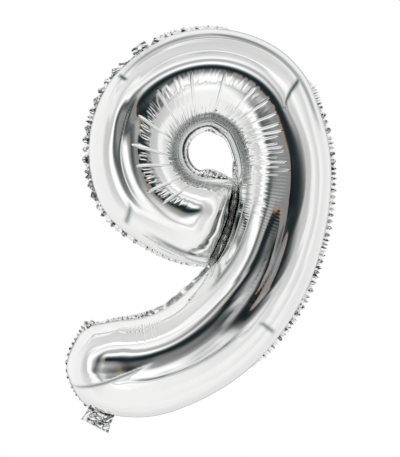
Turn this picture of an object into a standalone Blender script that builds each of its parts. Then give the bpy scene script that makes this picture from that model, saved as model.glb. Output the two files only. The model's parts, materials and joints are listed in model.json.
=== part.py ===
"""Foil number balloon in the shape of a 9, filled and free-standing.

The balloon is one curved tube of two foil films: the tail sweeps up into the stem, over the top, round
the ring and back against the stem. Both films are welded flat along every edge. A short filling neck
hangs under the tail with a self-sealing valve of two plastic films behind it, and a hang tab stands on
the upper left of the ring.

The outline is drawn in the XZ plane, in front view, with its zero at the centre of the ring, +X to the
right and +Z up. The front faces -Y. At the end everything moves so that the origin is the bottom centre
of the whole object's box.
"""

import math

import bpy
import numpy as np
from mathutils import Matrix, Vector

MM = 0.001

# Ring: the outer edge is an arc about the ring's centre, the hole an arc about its own centre that runs
# out along a straight tangent to the corner where the ring meets the stem.
RING_RADIUS = 105.6 * MM
RING_LOWER_LEFT_SHRINK = 7.6 * MM
RING_SHRINK_FROM = math.radians(205)
RING_SHRINK_TO = math.radians(238)
RING_OUTER_ANGLES = (math.radians(78.5), math.radians(268))
HOLE_CENTRE = np.array((-1.8, 0.0)) * MM
HOLE_RADIUS = 25.5 * MM
HOLE_STRAIGHT_FROM = math.radians(266)
HOLE_ANGLES = (math.radians(94), math.radians(307))
RING_STATIONS = 17

# Tail, stem and top right: the two edges of the tube in millimetres, each line one station with the
# inner edge's x and z, then the outer edge's x and z, from the tail's end to the top of the ring.
TAIL_AND_STEM_STATIONS = (
    (-108.2, -156.6, -108.2, -220.9),
    (-87.1, -151.4, -81.8, -229.7),
    (-62.5, -148.7, -49.3, -230.1),
    (-40.5, -140.8, -12.3, -217.4),
    (-18.5, -124.1, 25.5, -194.5),
    (0.9, -103.8, 58.1, -161.0),
    (13.2, -81.8, 81.0, -123.2),
    (21.1, -55.4, 95.0, -82.7),
    (25.1, -29.0, 102.5, -37.8),
    (23.8, -5.3, 101.6, 1.8),
    (17.6, 12.3, 92.8, 35.6),
    (13.2, 18.0, 81.4, 63.4),
    (6.6, 22.6, 62.5, 84.8),
)
NOTCH_STATION = 5
HOLE_CORNER_STATION = 8

# Filled shape
TUBE_HALF_DEPTH = 36 * MM
TAIL_END_BULGE = 15.8 * MM
TAIL_BULGE_REACH = 60 * MM
TAIL_PILLOW_LENGTH = 34 * MM
RING_END_BULGE = 4 * MM
RING_BULGE_REACH = 35 * MM
RING_PILLOW_LENGTH = 28 * MM

# Films and welds. The foil is modelled thicker than the real film so that it is a sound solid.
FOIL_THICKNESS = 0.2 * MM
FOIL_RIM_OFFSET = 0.2 * MM
WELD_THICKNESS = 0.3 * MM
WELD_WIDTH = 6.4 * MM
WELD_WIDTH_AT_TAB = 1.6 * MM
HOLE_WELD_WIDTH = 6.4 * MM
CLEARANCE = 0.3 * MM
SIDE_CLEARANCE = 0.5 * MM

# Filling neck: its own axes are the root line (right positive) and straight out of the tail.
NECK_ROOT = np.array((-94.2, -223.5)) * MM
NECK_HALF_WIDTH = 12.7 * MM
NECK_MOUTH = ((-16.0 * MM, 14.6 * MM), (12.6 * MM, 18.6 * MM))
NECK_CORNER_RADIUS = 1.5 * MM
NECK_LAYER_THICKNESS = 0.3 * MM
NECK_LAYER_OFFSET = 0.35 * MM
NECK_HINGE_OUTSIDE_EDGE = 0.8 * MM

# Self-sealing valve: two plastic films, welded into the neck's root and loose inside the tail
VALVE_LENGTH = 46 * MM
VALVE_ROOT_HALF_WIDTH = 11 * MM
VALVE_TIP_HALF_WIDTH = 7.5 * MM
VALVE_FILM_THICKNESS = 0.12 * MM
VALVE_FILM_OFFSET = 0.3 * MM
VALVE_INSIDE_EDGE = 1.2 * MM

# Hang tab
TAB_ANGLE = math.radians(124.5)
TAB_ROOT_HALF_WIDTH = 10 * MM
TAB_TIP_HALF_WIDTH = 8 * MM
TAB_HEIGHT = 6.4 * MM
TAB_CORNER_RADIUS = 2 * MM
TAB_HINGE_OUTSIDE_EDGE = 2.1 * MM
TAB_STEP_ANGLE = math.radians(0.15)
TAB_HOLE_RADIUS = 1.5 * MM
TAB_HOLE_HEIGHT = 3.4 * MM

# Mesh density
TUBE_STATION_SPACING = 9 * MM
PILLOW_STATIONS = 6
SECTION_SEGMENTS = 14
EDGE_SPACING = 5 * MM
ARC_SEGMENTS = 6
HOLE_SEGMENTS = 20

MODEL_COLLECTION = "foil_number_balloon"


def clear_scene():
    for existing in list(bpy.data.objects):
        bpy.data.objects.remove(existing, do_unlink=True)


def new_collection():
    collection = bpy.data.collections.new(MODEL_COLLECTION)
    bpy.context.scene.collection.children.link(collection)
    return collection


def material(name, colour, roughness, metallic, alpha=1.0):
    made = bpy.data.materials.new(name)
    made.use_nodes = True
    shader = made.node_tree.nodes["Principled BSDF"]
    shader.inputs["Base Color"].default_value = (*colour, 1.0)
    shader.inputs["Roughness"].default_value = roughness
    shader.inputs["Metallic"].default_value = metallic
    shader.inputs["Alpha"].default_value = alpha
    return made


def foil_material(name, shade=0.86):
    return material(name, (shade, shade + 0.005, shade + 0.01), 0.08, 1.0)


def smoothstep(value):
    clamped = np.clip(value, 0.0, 1.0)
    return clamped * clamped * (3.0 - 2.0 * clamped)


def polar(centre, radius, angle):
    return np.asarray(centre) + radius * np.array((math.cos(angle), math.sin(angle)))


def ring_station(fraction):
    """Inner and outer edge points of the ring, from its top (0) round the left to its closed end (1)."""
    outer_angle = RING_OUTER_ANGLES[0] + fraction * (RING_OUTER_ANGLES[1] - RING_OUTER_ANGLES[0])
    inner_angle = HOLE_ANGLES[0] + fraction * (HOLE_ANGLES[1] - HOLE_ANGLES[0])
    shrink = smoothstep((outer_angle - RING_SHRINK_FROM) / (RING_SHRINK_TO - RING_SHRINK_FROM))
    outer = polar((0.0, 0.0), RING_RADIUS - RING_LOWER_LEFT_SHRINK * shrink, outer_angle)
    hole_radius = HOLE_RADIUS / math.cos(max(0.0, inner_angle - HOLE_STRAIGHT_FROM))
    return np.concatenate((polar(HOLE_CENTRE, hole_radius, inner_angle), outer))


class TubePath:
    """The tube's two edges as one smooth path of (inner x, inner z, outer x, outer z), by centre distance."""

    def __init__(self):
        straight_part = [np.array(station) * MM for station in TAIL_AND_STEM_STATIONS]
        ring_part = [ring_station(k / (RING_STATIONS - 1)) for k in range(RING_STATIONS)]
        self.stations = np.array(straight_part + ring_part)
        centres = (self.stations[:, :2] + self.stations[:, 2:]) / 2
        steps = np.linalg.norm(np.diff(centres, axis=0), axis=1)
        self.distances = np.concatenate(((0.0,), np.cumsum(steps)))
        self.length = self.distances[-1]
        self.slopes = np.gradient(self.stations, self.distances, axis=0)

    def at(self, distance):
        """Inner and outer edge points at this distance, by cubic Hermite interpolation."""
        index = int(np.clip(np.searchsorted(self.distances, distance) - 1, 0, len(self.distances) - 2))
        span = self.distances[index + 1] - self.distances[index]
        t = (distance - self.distances[index]) / span
        start, end = self.stations[index], self.stations[index + 1]
        start_slope, end_slope = self.slopes[index] * span, self.slopes[index + 1] * span
        value = (
            (2 * t**3 - 3 * t**2 + 1) * start
            + (t**3 - 2 * t**2 + t) * start_slope
            + (3 * t**2 - 2 * t**3) * end
            + (t**3 - t**2) * end_slope
        )
        return value[:2], value[2:]

    def bulge_at(self, distance):
        """How far the cross line bows beyond the straight line between its edges, as a vector."""
        tail = TAIL_END_BULGE * (1.0 - smoothstep(distance / TAIL_BULGE_REACH))
        ring = RING_END_BULGE * (1.0 - smoothstep((self.length - distance) / RING_BULGE_REACH))
        inner, outer = self.at(self.length)
        along = (outer - inner) / np.linalg.norm(outer - inner)
        ring_outward = np.array((-along[1], along[0]))
        return tail * np.array((-1.0, 0.0)) + ring * ring_outward

    def cross_point(self, distance, across):
        """Point of the cross line: across is 0 at the inner edge and 1 at the outer edge."""
        inner, outer = self.at(distance)
        bow = 4.0 * across * (1.0 - across)
        return inner + across * (outer - inner) + bow * self.bulge_at(distance)

    def half_depth(self, distance):
        """Half the tube's depth, which falls to nothing over a rounded pillow at each closed end."""
        tail = 1.0 - min(distance / TAIL_PILLOW_LENGTH, 1.0)
        ring = 1.0 - min((self.length - distance) / RING_PILLOW_LENGTH, 1.0)
        return TUBE_HALF_DEPTH * math.sqrt(max(0.0, 1.0 - tail**2)) * math.sqrt(max(0.0, 1.0 - ring**2))

    def sample_distances(self):
        """Distances of the loft's stations, closer together over the rounded ends."""
        steps = np.arange(PILLOW_STATIONS) / PILLOW_STATIONS
        rounded = 1.0 - np.cos(steps * math.pi / 2)
        tail = rounded * TAIL_PILLOW_LENGTH
        ring = self.length - rounded[::-1] * RING_PILLOW_LENGTH
        middle_length = self.length - TAIL_PILLOW_LENGTH - RING_PILLOW_LENGTH
        count = round(middle_length / TUBE_STATION_SPACING)
        middle = TAIL_PILLOW_LENGTH + np.linspace(0.0, middle_length, count + 1)
        return np.concatenate((tail, middle, ring))

    def edge(self, start, end, outer):
        """Points along one edge of the tube between two distances, either way along it."""
        count = max(2, round(abs(end - start) / EDGE_SPACING) + 1)
        side = 1 if outer else 0
        return [self.at(distance)[side] for distance in np.linspace(start, end, count)]

    def end_line(self, distance, start, end):
        """Points along the closed end at this distance, between two fractions across it."""
        length = abs(end - start) * np.linalg.norm(np.subtract(*self.at(distance)))
        count = max(2, round(length / EDGE_SPACING) + 1)
        return [self.cross_point(distance, across) for across in np.linspace(start, end, count)]


def half_tube(name, path, side, surface, collection):
    """One foil panel: an open half tube lofted along the path, with its film thickness added inside.

    side is -1 for the front and +1 for the back.
    """
    distances = path.sample_distances()
    columns = SECTION_SEGMENTS + 1
    points = []
    for distance in distances:
        depth = path.half_depth(distance)
        for column in range(columns):
            turn = math.pi * column / SECTION_SEGMENTS
            x, z = path.cross_point(distance, (1.0 - math.cos(turn)) / 2)
            points.append((x, side * (FOIL_RIM_OFFSET + depth * math.sin(turn)), z))
    faces = []
    for row in range(len(distances) - 1):
        for column in range(SECTION_SEGMENTS):
            corner = row * columns + column
            face = (corner, corner + columns, corner + columns + 1, corner + 1)
            faces.append(face if side < 0 else face[::-1])
    mesh = bpy.data.meshes.new(name)
    mesh.from_pydata(points, [], faces)
    mesh.shade_smooth()
    mesh.materials.append(surface)
    panel = bpy.data.objects.new(name, mesh)
    film = panel.modifiers.new("film", "SOLIDIFY")
    film.thickness = FOIL_THICKNESS
    film.offset = -1.0
    collection.objects.link(panel)
    return panel


def unit(vector):
    return vector / np.linalg.norm(vector)


def outward_normals(points, closed):
    """Right-hand normal of each point of a line, lengthened at corners so that an offset keeps its width."""
    normals = []
    count = len(points)
    for k, here in enumerate(points):
        before = points[k - 1] if closed or k > 0 else None
        after = points[(k + 1) % count] if closed or k < count - 1 else None
        arriving = unit(here - before) if before is not None else unit(after - here)
        leaving = unit(after - here) if after is not None else arriving
        middle = unit(arriving + leaving)
        sharpness = max(0.6, float(np.dot(middle, leaving)))
        normals.append(np.array((middle[1], -middle[0])) / sharpness)
    return normals


def distance_to_line(point, points, closed):
    starts = np.array(points if closed else points[:-1])
    ends = np.array(points[1:] + points[:1] if closed else points[1:])
    spans = ends - starts
    along = np.einsum("ij,ij->i", point - starts, spans) / np.einsum("ij,ij->i", spans, spans)
    nearest = starts + np.clip(along, 0.0, 1.0)[:, None] * spans
    return float(np.min(np.linalg.norm(nearest - point, axis=1)))


def offset_line(points, widths, closed):
    """The line moved out by each point's width, without the points that fold back in a tight corner."""
    fold_tolerance = 0.97
    moved = []
    for point, normal, width in zip(points, outward_normals(points, closed), widths):
        candidate = point + width * normal
        if distance_to_line(candidate, points, closed) > fold_tolerance * abs(width):
            moved.append(candidate)
    return moved


def flat_plate(name, loops, thickness, surface, collection, depth_offset=0.0):
    """A flat outline in the XZ plane, with holes, as thick as given and centred on y = depth_offset."""
    curve = bpy.data.curves.new(name, "CURVE")
    curve.dimensions = "2D"
    curve.fill_mode = "BOTH"
    curve.extrude = thickness / 2
    for loop in loops:
        spline = curve.splines.new("POLY")
        spline.points.add(len(loop) - 1)
        for point, (x, z) in zip(spline.points, loop):
            point.co = (x, z, 0.0, 1.0)
        spline.use_cyclic_u = True
    curve.materials.append(surface)
    plate = bpy.data.objects.new(name, curve)
    plate.rotation_euler = (math.pi / 2, 0.0, 0.0)
    plate.location = (0.0, depth_offset, 0.0)
    collection.objects.link(plate)
    return plate


def silhouette(path):
    """The balloon's outer edge as one closed loop, anticlockwise from the tail's outer corner."""
    notch = path.distances[NOTCH_STATION]
    outer_edge = path.edge(0.0, path.length, outer=True)
    inner_edge = path.edge(notch, 0.0, outer=False)
    tail_end = path.end_line(0.0, 0.0, 1.0)
    return outer_edge + inner_edge + tail_end[1:-1]


def hole_edge(path):
    """The hole's edge as one closed loop, from the stem side over the top and round to the ring's end."""
    return path.edge(path.distances[HOLE_CORNER_STATION], path.length, outer=False)


def point_at(origin, right, out, local):
    return origin + local[0] * right + local[1] * out


def neck_axes(outline):
    """Root point on the tail's edge, direction along the root and direction out of the tail."""
    nearest = min(range(len(outline)), key=lambda k: np.linalg.norm(outline[k] - NECK_ROOT))
    right = unit(outline[nearest + 1] - outline[nearest - 1])
    out = np.array((right[1], -right[0]))
    root = outline[nearest] + np.dot(NECK_ROOT - outline[nearest], right) * right
    return root, right, out


def tab_axes():
    out = polar((0.0, 0.0), 1.0, TAB_ANGLE)
    right = np.array((out[1], -out[0]))
    return out * RING_RADIUS, right, out


def behind_tab(line):
    """Points of the ring's edge behind the hang tab, with widths that step down to a narrow strip there.

    The points replace the given line's own, and come with the line's other points and widths.
    """
    tab_root, _, _ = tab_axes()
    half_angle = (TAB_ROOT_HALF_WIDTH + SIDE_CLEARANCE) / RING_RADIUS
    reach = 2 * RING_RADIUS * math.sin(half_angle / 2)
    before = [k for k, point in enumerate(line) if np.linalg.norm(point - tab_root) < reach]
    first, last = before[0], before[-1]
    turns = np.linspace(-half_angle, half_angle, len(before) + 2)
    arc = [polar((0.0, 0.0), RING_RADIUS, TAB_ANGLE + turn) for turn in turns]
    step = TAB_STEP_ANGLE * np.array((-1, 1))
    shoulders = [polar((0.0, 0.0), RING_RADIUS, TAB_ANGLE + turns[end] + step[end]) for end in (0, -1)]
    points = line[:first] + [shoulders[0]] + arc + [shoulders[1]] + line[last + 1 :]
    narrow = range(first + 1, first + 1 + len(arc))
    widths = [WELD_WIDTH_AT_TAB if k in narrow else WELD_WIDTH for k in range(len(points))]
    return points, widths


def make_outer_weld(outline, collection):
    """The trimmed flange round the silhouette, open at the neck and narrow behind the hang tab."""
    root, right, _ = neck_axes(outline)
    neck_reach = NECK_HALF_WIDTH + SIDE_CLEARANCE
    start = min(range(len(outline)), key=lambda k: np.linalg.norm(outline[k] - root))
    turned = outline[start:] + outline[:start]
    beyond_neck = [point for point in turned if np.linalg.norm(point - root) > neck_reach]
    whole = [root + neck_reach * right] + beyond_neck + [root - neck_reach * right]
    line, widths = behind_tab(whole)
    outer = offset_line(line, widths, closed=False)
    inner = offset_line(line, [CLEARANCE] * len(line), closed=False)
    loop = outer + inner[::-1]
    return flat_plate("outer_weld_flange", [loop], WELD_THICKNESS, foil_material("weld foil"), collection)


def make_hole_weld(path, collection):
    """The flange inside the ring's hole."""
    edge = hole_edge(path)[::-1]
    outer = offset_line(edge, [CLEARANCE] * len(edge), closed=True)
    inner = offset_line(edge, [HOLE_WELD_WIDTH] * len(edge), closed=True)
    surface = foil_material("hole weld foil")
    return flat_plate("hole_weld_flange", [outer, inner], WELD_THICKNESS, surface, collection)


def make_divider_weld(path, collection):
    """The welded strip between the ring's closed end and the stem."""
    notch = path.distances[NOTCH_STATION]
    corner = path.distances[HOLE_CORNER_STATION]
    end_clearance = 2 * CLEARANCE
    stem_side = path.edge(notch + end_clearance, corner - end_clearance, outer=False)
    width = np.linalg.norm(np.subtract(*path.at(path.length)))
    margin = end_clearance / width
    ring_side = path.end_line(path.length, margin, 1.0 - margin)
    stem_line = offset_line(stem_side[::-1], [CLEARANCE] * len(stem_side), closed=False)
    ring_line = offset_line(ring_side[::-1], [CLEARANCE] * len(ring_side), closed=False)
    loop = stem_line + ring_line
    return flat_plate("divider_weld", [loop], WELD_THICKNESS, foil_material("divider weld foil"), collection)


def rounded(corners, radius):
    """The polygon's corners replaced by arcs of this radius."""
    loop = []
    count = len(corners)
    for k, corner in enumerate(corners):
        to_before = unit(corners[k - 1] - corner)
        to_after = unit(corners[(k + 1) % count] - corner)
        half_angle = math.acos(float(np.dot(to_before, to_after))) / 2
        centre = corner + unit(to_before + to_after) * radius / math.sin(half_angle)
        first = corner + to_before * radius / math.tan(half_angle) - centre
        last = corner + to_after * radius / math.tan(half_angle) - centre
        for step in range(ARC_SEGMENTS + 1):
            blend = step / ARC_SEGMENTS
            loop.append(centre + radius * unit(first * (1 - blend) + last * blend))
    return loop


def circle(centre, radius):
    turns = [2 * math.pi * k / HOLE_SEGMENTS for k in range(HOLE_SEGMENTS)]
    return [polar(centre, radius, turn) for turn in turns]


def pivot(name, origin, right, collection):
    """An empty on a fold line: its X axis runs along the fold, its Z axis a quarter turn anticlockwise."""
    empty = bpy.data.objects.new(name, None)
    tilt = math.atan2(right[1], right[0])
    empty.matrix_world = Matrix.Translation((origin[0], 0.0, origin[1])) @ Matrix.Rotation(-tilt, 4, "Y")
    collection.objects.link(empty)
    return empty


def make_neck(outline, collection):
    """Front and back layer of the filling neck, on a pivot along its fold line."""
    root, right, out = neck_axes(outline)
    hinge = pivot("neck_pivot", root + NECK_HINGE_OUTSIDE_EDGE * out, right, collection)
    root_gap = CLEARANCE
    corners = [
        np.array((-NECK_HALF_WIDTH, -root_gap)),
        np.array((NECK_MOUTH[0][0], -NECK_MOUTH[0][1])),
        np.array((NECK_MOUTH[1][0], -NECK_MOUTH[1][1])),
        np.array((NECK_HALF_WIDTH, -root_gap)),
    ]
    loop = rounded(corners, NECK_CORNER_RADIUS)
    for name, side in (("neck_front_layer", -1), ("neck_back_layer", 1)):
        surface = foil_material(name + " foil")
        layer = flat_plate(name, [loop], NECK_LAYER_THICKNESS, surface, collection, side * NECK_LAYER_OFFSET)
        layer.parent = hinge


def make_valve(outline, collection):
    """The two loose films of the self-sealing valve, each on a pivot along its weld."""
    root, right, out = neck_axes(outline)
    corners = [
        np.array((-VALVE_ROOT_HALF_WIDTH, 0.0)),
        np.array((VALVE_ROOT_HALF_WIDTH, 0.0)),
        np.array((VALVE_TIP_HALF_WIDTH, VALVE_LENGTH)),
        np.array((-VALVE_TIP_HALF_WIDTH, VALVE_LENGTH)),
    ]
    loop = rounded(corners, NECK_CORNER_RADIUS)
    for name, side in (("valve_front_film", -1), ("valve_back_film", 1)):
        hinge = pivot(name + "_pivot", root - VALVE_INSIDE_EDGE * out, right, collection)
        surface = material(name + " plastic", (0.82, 0.84, 0.85), 0.25, 0.0, alpha=0.6)
        film = flat_plate(name, [loop], VALVE_FILM_THICKNESS, surface, collection, side * VALVE_FILM_OFFSET)
        film.parent = hinge


def make_hang_tab(collection):
    """The pierced tab that a ribbon goes through, on a pivot along its fold line."""
    root, right, out = tab_axes()
    hinge = pivot("hang_tab_pivot", root + TAB_HINGE_OUTSIDE_EDGE * out, right, collection)
    corners = [
        np.array((-TAB_ROOT_HALF_WIDTH, CLEARANCE)),
        np.array((TAB_ROOT_HALF_WIDTH, CLEARANCE)),
        np.array((TAB_TIP_HALF_WIDTH, TAB_HEIGHT)),
        np.array((-TAB_TIP_HALF_WIDTH, TAB_HEIGHT)),
    ]
    loops = [rounded(corners, TAB_CORNER_RADIUS), circle((0.0, TAB_HOLE_HEIGHT), TAB_HOLE_RADIUS)]
    tab = flat_plate("hang_tab", loops, WELD_THICKNESS, foil_material("hang tab foil"), collection)
    tab.parent = hinge


def stand_on_origin(collection):
    """Moves the whole balloon so that the bottom centre of its box is the world's origin."""
    graph = bpy.context.evaluated_depsgraph_get()
    points = []
    for obj in collection.objects:
        if obj.type == "EMPTY":
            continue
        evaluated = obj.evaluated_get(graph)
        points += [evaluated.matrix_world @ vertex.co for vertex in evaluated.to_mesh().vertices]
        evaluated.to_mesh_clear()
    low, high = np.min(points, axis=0), np.max(points, axis=0)
    shift = Vector((-(low[0] + high[0]) / 2, -(low[1] + high[1]) / 2, -low[2]))
    for obj in collection.objects:
        if obj.parent is None:
            obj.location += shift


def build():
    clear_scene()
    collection = new_collection()
    path = TubePath()
    outline = silhouette(path)
    half_tube("front_foil_panel", path, -1, foil_material("front foil"), collection)
    half_tube("back_foil_panel", path, 1, foil_material("back foil"), collection)
    make_outer_weld(outline, collection)
    make_hole_weld(path, collection)
    make_divider_weld(path, collection)
    make_neck(outline, collection)
    make_valve(outline, collection)
    make_hang_tab(collection)
    stand_on_origin(collection)


build()
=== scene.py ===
"""Looks of the silver foil number balloon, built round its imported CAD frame.

Each foil panel is a thin sheet that the gas presses out in a short simulation, wrinkled where it has length
to spare and smooth where the tube pulls it tight. Pleats, creases and hollows that are too small or too
sharp for that are then raised on it. The welds are strips that start on the simulated seam.
"""

import json
import math
from functools import cache

import bmesh
import bpy
import numpy as np
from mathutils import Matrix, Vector


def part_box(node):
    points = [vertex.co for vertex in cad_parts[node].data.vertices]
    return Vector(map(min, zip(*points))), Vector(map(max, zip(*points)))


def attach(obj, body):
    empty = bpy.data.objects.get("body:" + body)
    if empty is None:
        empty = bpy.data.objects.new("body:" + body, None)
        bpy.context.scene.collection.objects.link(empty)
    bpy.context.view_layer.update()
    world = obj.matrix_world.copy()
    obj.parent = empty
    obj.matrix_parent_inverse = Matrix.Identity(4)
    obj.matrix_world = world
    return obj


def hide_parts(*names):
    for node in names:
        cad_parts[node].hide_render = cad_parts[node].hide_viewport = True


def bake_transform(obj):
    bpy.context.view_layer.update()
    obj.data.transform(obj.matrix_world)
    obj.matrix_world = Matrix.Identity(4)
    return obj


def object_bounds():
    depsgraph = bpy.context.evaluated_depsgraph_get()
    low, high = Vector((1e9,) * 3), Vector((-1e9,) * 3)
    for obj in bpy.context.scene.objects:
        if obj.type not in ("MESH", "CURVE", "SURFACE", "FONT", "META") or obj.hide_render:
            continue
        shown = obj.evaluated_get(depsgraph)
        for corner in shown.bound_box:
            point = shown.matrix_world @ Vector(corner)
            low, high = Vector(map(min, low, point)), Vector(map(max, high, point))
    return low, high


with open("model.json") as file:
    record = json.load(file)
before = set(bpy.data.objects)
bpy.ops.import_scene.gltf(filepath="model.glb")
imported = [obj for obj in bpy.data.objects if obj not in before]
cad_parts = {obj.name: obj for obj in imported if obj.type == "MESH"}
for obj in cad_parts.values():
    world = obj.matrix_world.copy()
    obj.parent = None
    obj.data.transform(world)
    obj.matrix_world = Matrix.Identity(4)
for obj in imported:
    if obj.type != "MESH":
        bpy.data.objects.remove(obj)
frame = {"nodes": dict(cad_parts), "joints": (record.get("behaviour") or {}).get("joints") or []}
cad_low, cad_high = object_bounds()

MM = 0.001

# The CAD panels: how their rim is recognised, how their closed ends are cut and how those swell
RIM_FLATNESS = 1e-5
MERGE_DISTANCE = 1e-6
END_SEGMENTS = 14
TAIL_PILLOW = 29 * MM
RING_PILLOW = 28 * MM
TAIL_BULGE_REACH = 60 * MM
RING_BULGE_REACH = 35 * MM
PILLOW_POWER = 2.3

# An oval section's roundness on either side of its crown: 2 makes an ellipse
INNER_ROUNDNESS = 1.65
OUTER_ROUNDNESS = 1.9

# Places along the tube, as shares of its length from the tail's end to the ring's end
NOTCH = 0.26
HOLE_CORNER = 0.435
PLEAT_FIRST = 0.455
PLEAT_LAST = 0.93

# Simulated sheets
COARSE_GRID = (640, 36)
FINE_GRID = (1280, 120)
COARSE_STEPS = 130
FINE_STEPS = 70
GAS_PRESSURE = 0.012 * MM
START_SHAKE = 0.2 * MM
PULL_TO_SHAPE = 0.003
SPEED_KEPT = 0.9
TOP_SPEED = 1.5 * MM
SLACK_ACROSS = 1.004
CALMING_ROUNDS = 6
FILM_THICKNESS = 0.1 * MM
SMALL = 1e-9

# How fully a step of the simulation undoes a length that is too long, and one that is too short
STRETCH_HOLD = (1.0, 0.6)
SHEAR_HOLD = (0.25, 0.12)
BEND_HOLD = (0.0, 0.1)
LATER_BEND_HOLD = (0.0, 0.04)


def smooth_step(value, start=0.0, end=1.0):
    share = np.clip((value - start) / (end - start), 0.0, 1.0)
    return share * share * (3.0 - 2.0 * share)


def plateau(value, start, full, fall, end):
    """0 before start, 1 between full and fall, 0 after end, with soft slopes."""
    return smooth_step(value, start, full) * (1.0 - smooth_step(value, fall, end))


def lengths(vectors):
    return np.sqrt(np.einsum("...k,...k->...", vectors, vectors))


def units(vectors):
    return vectors / (lengths(vectors)[..., None] + SMALL)


def curve_through(knots, values, samples):
    """Smooth curve through the values at the knots (cubic Hermite), read at the samples."""
    slopes = np.gradient(values, knots, axis=0)
    index = np.clip(np.searchsorted(knots, samples) - 1, 0, len(knots) - 2)
    span = (knots[index + 1] - knots[index])[:, None]
    t = (samples - knots[index])[:, None] / span
    start, end = values[index], values[index + 1]
    return (
        (2 * t**3 - 3 * t**2 + 1) * start
        + (t**3 - 2 * t**2 + t) * slopes[index] * span
        + (3 * t**2 - 2 * t**3) * end
        + (t**3 - t**2) * slopes[index + 1] * span
    )


def soft_noise(shape, cells, random):
    """Smooth noise of about unit height, with this many cells along and across."""
    rough = random.standard_normal((cells[0] + 3, cells[1] + 3))
    rows = curve_through(np.arange(cells[0] + 3.0), rough, np.linspace(1, cells[0] + 1, shape[0]))
    columns = curve_through(np.arange(cells[1] + 3.0), rows.T, np.linspace(1, cells[1] + 1, shape[1]))
    return columns.T


# --- The tube, read from the frame


def rim_loop(node):
    """The outer line of a foil panel's rim as a closed loop of (x, z), anticlockwise from the front."""
    mesh = bmesh.new()
    mesh.from_mesh(frame["nodes"][node].data)
    bmesh.ops.remove_doubles(mesh, verts=mesh.verts, dist=MERGE_DISTANCE)
    mesh.normal_update()
    rim_y = max(vertex.co.y for vertex in mesh.verts)
    on_rim = {vertex for vertex in mesh.verts if abs(vertex.co.y - rim_y) < RIM_FLATNESS}
    neighbours = {vertex: [] for vertex in on_rim}
    for edge in mesh.edges:
        first, second = edge.verts
        beside_rim_face = any(face.normal.y > 0.5 for face in edge.link_faces)
        if first in on_rim and second in on_rim and beside_rim_face:
            neighbours[first].append(second)
            neighbours[second].append(first)
    loop = [min(on_rim, key=lambda vertex: (vertex.co.x, vertex.co.z))]
    passed = set(loop)
    while onward := [vertex for vertex in neighbours[loop[-1]] if vertex not in passed]:
        nearest = min(onward, key=lambda vertex: (vertex.co - loop[-1].co).length)
        loop.append(nearest)
        passed.add(nearest)
    points = np.array([(vertex.co.x, vertex.co.z) for vertex in loop])
    mesh.free()
    following = np.roll(points, -1, axis=0)
    area = np.sum(points[:, 0] * following[:, 1] - following[:, 0] * points[:, 1])
    return points if area > 0 else points[::-1]


def turning(loop):
    """How sharply the closed loop turns at each of its points, in radians."""
    leaving = units(np.roll(loop, -1, axis=0) - loop)
    arriving = np.roll(leaving, 1, axis=0)
    return np.arccos(np.clip(np.sum(arriving * leaving, axis=1), -1.0, 1.0))


class Tube:
    """The balloon's tube between its inner and outer seam, by distance from the tail's end."""

    def __init__(self):
        loop = rim_loop("front_foil_panel")
        turns = turning(loop)
        ring_corner = int(np.argmax(turns + np.roll(turns, -END_SEGMENTS)))
        loop = np.roll(loop, -ring_corner, axis=0)
        rows = (len(loop) - 2 * END_SEGMENTS) // 2 + 1
        tail_start = END_SEGMENTS + rows - 1
        tail_stop = tail_start + END_SEGMENTS
        self.inner = loop[END_SEGMENTS : tail_start + 1][::-1]
        self.outer = np.vstack((loop[tail_stop:], loop[:1]))
        centres = (self.inner + self.outer) / 2
        self.knots = np.concatenate(((0.0,), np.cumsum(lengths(np.diff(centres, axis=0)))))
        self.length = self.knots[-1]
        half = END_SEGMENTS // 2
        self.tail_bulge = loop[tail_start + half] - centres[0]
        self.ring_bulge = loop[half] - centres[-1]
        self.half_depth = -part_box("front_foil_panel")[0].y
        self.width = lengths(self.outer - self.inner).mean()

    def seams(self, distances):
        """Inner and outer seam points at these distances."""
        inner = curve_through(self.knots, self.inner, distances)
        outer = curve_through(self.knots, self.outer, distances)
        return inner, outer

    def bulge(self, distances):
        """How far the cross line bows at its middle, which it only does near the closed ends."""
        tail = 1.0 - smooth_step(distances, 0.0, TAIL_BULGE_REACH)
        ring = 1.0 - smooth_step(self.length - distances, 0.0, RING_BULGE_REACH)
        return tail[:, None] * self.tail_bulge + ring[:, None] * self.ring_bulge

    def depth(self, distances):
        """Half the tube's depth, rounded off like a pillow at each closed end."""
        tail = 1.0 - np.clip(distances / TAIL_PILLOW, 0.0, 1.0)
        ring = 1.0 - np.clip((self.length - distances) / RING_PILLOW, 0.0, 1.0)
        return self.half_depth * np.sqrt(1.0 - tail**PILLOW_POWER) * np.sqrt(1.0 - ring**PILLOW_POWER)

    def rows(self, count):
        """Distances of a grid's rows, closer together over the rounded ends."""
        quarter = math.pi / 2
        spread = self.length + (quarter - 1) * (TAIL_PILLOW + RING_PILLOW)
        travel = np.linspace(0.0, spread, count)
        left = spread - travel
        in_tail = TAIL_PILLOW * (1.0 - np.cos(np.minimum(travel / TAIL_PILLOW, quarter)))
        in_ring = RING_PILLOW * (1.0 - np.cos(np.minimum(left / RING_PILLOW, quarter)))
        middle = TAIL_PILLOW + travel - TAIL_PILLOW * quarter
        distances = np.where(travel < TAIL_PILLOW * quarter, in_tail, middle)
        return np.where(left < RING_PILLOW * quarter, self.length - in_ring, distances)


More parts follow.
